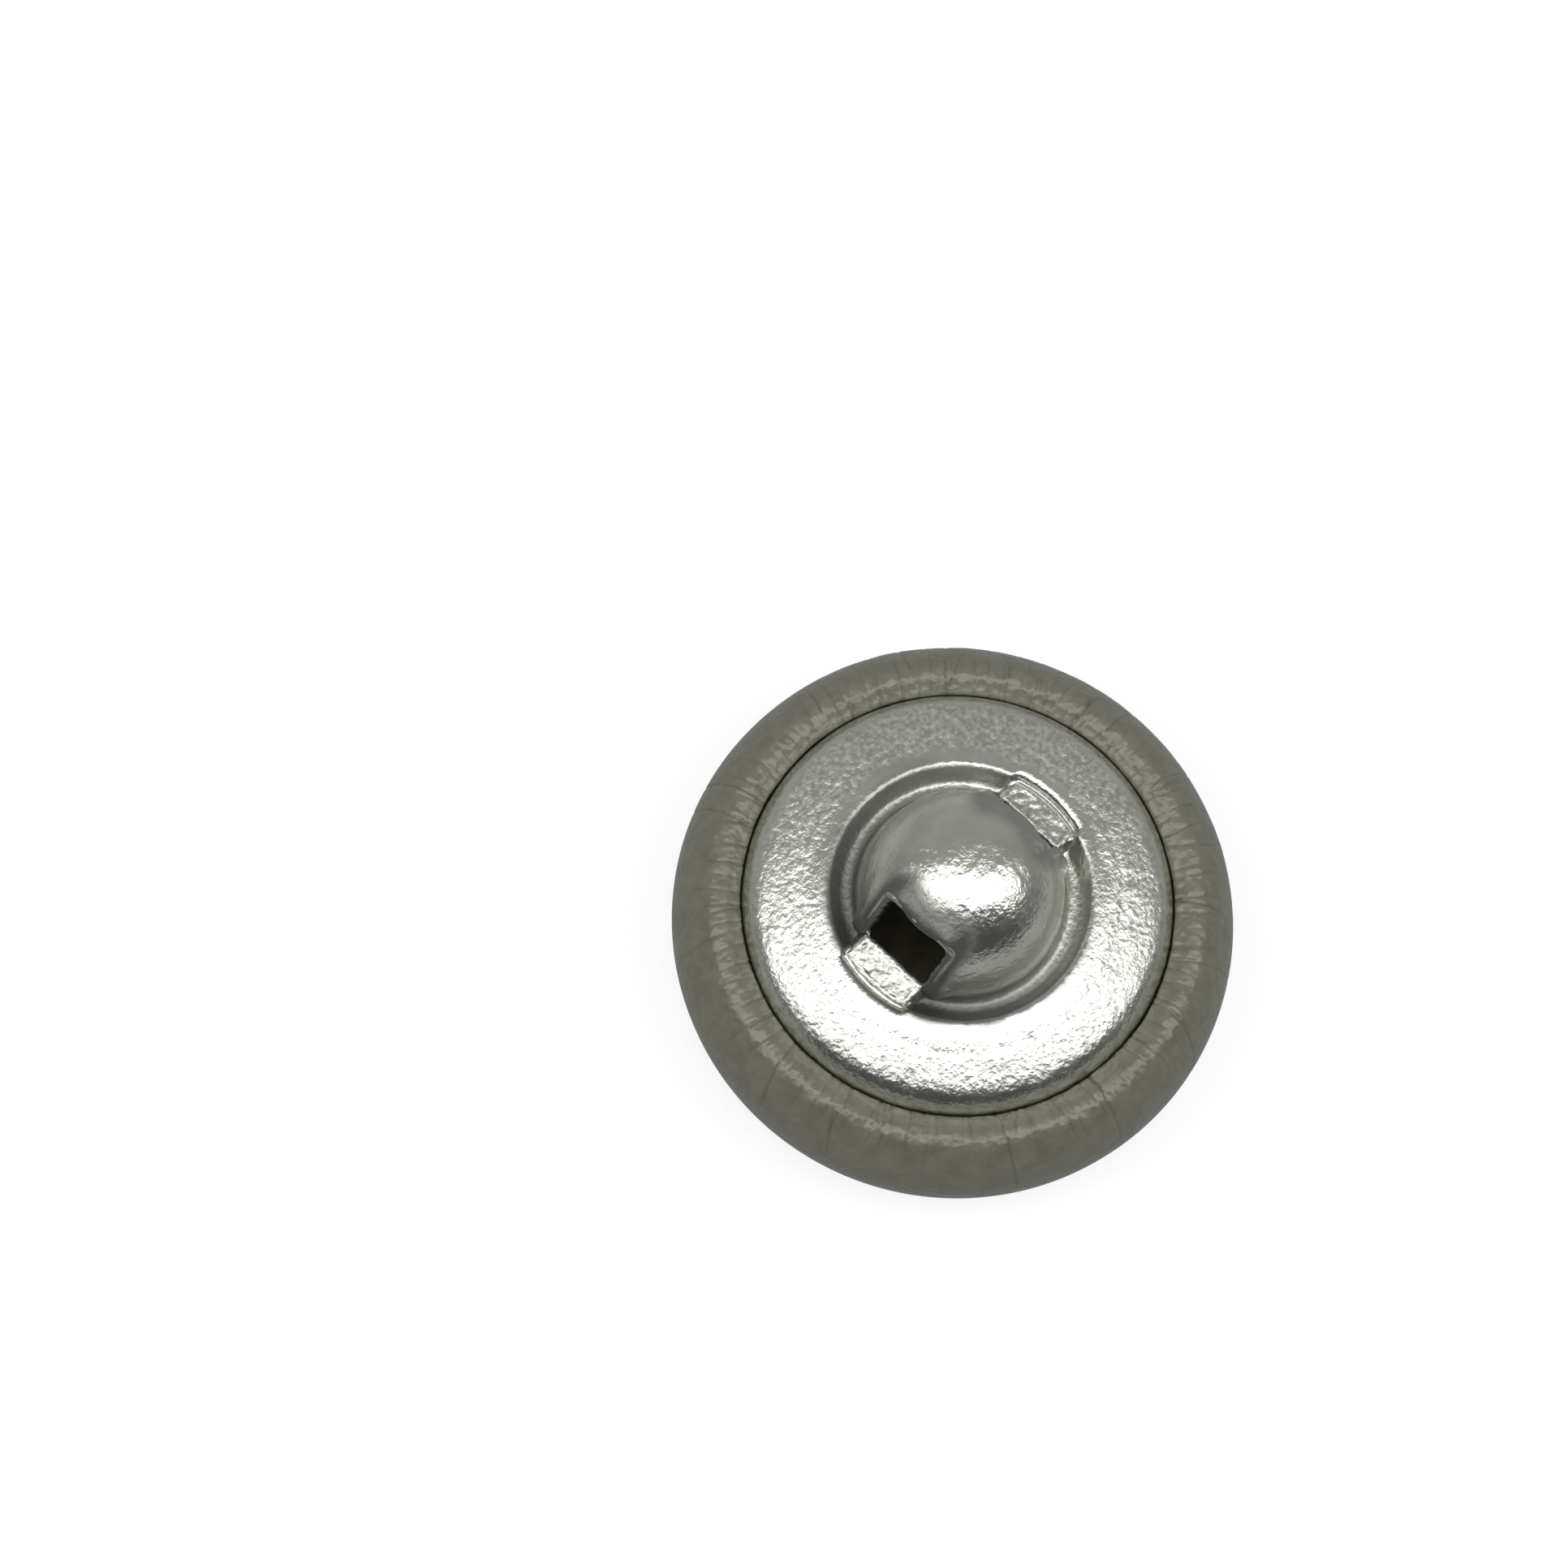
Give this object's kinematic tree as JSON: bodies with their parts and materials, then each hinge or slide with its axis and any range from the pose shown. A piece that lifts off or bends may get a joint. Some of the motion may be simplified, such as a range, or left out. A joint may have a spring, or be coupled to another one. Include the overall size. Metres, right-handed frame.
{
  "type": "leather shank button",
  "caption": "Round domed button covered in grey leather, with a pressed metal back and a domed shank bridge that thread passes under.",
  "frame": {"origin": "middle of the face's small flat spot, on the surface that the button lies on", "axes": "+Z out of the back, along the shank; +X along the thread's way under the bridge"},
  "size_m": [0.023, 0.023, 0.0117],
  "materials": {
    "leather": "smooth coated leather, satin, fine grain",
    "cap_aluminium": "plain pressed sheet, hidden",
    "plate_aluminium": "satin pressed sheet with a frosted cone and a smooth dome"
  },
  "bodies": {
    "root": {"leather_cover": "leather", "front_shell": "cap_aluminium", "back_plate": "plate_aluminium"}
  },
  "joints": []
}
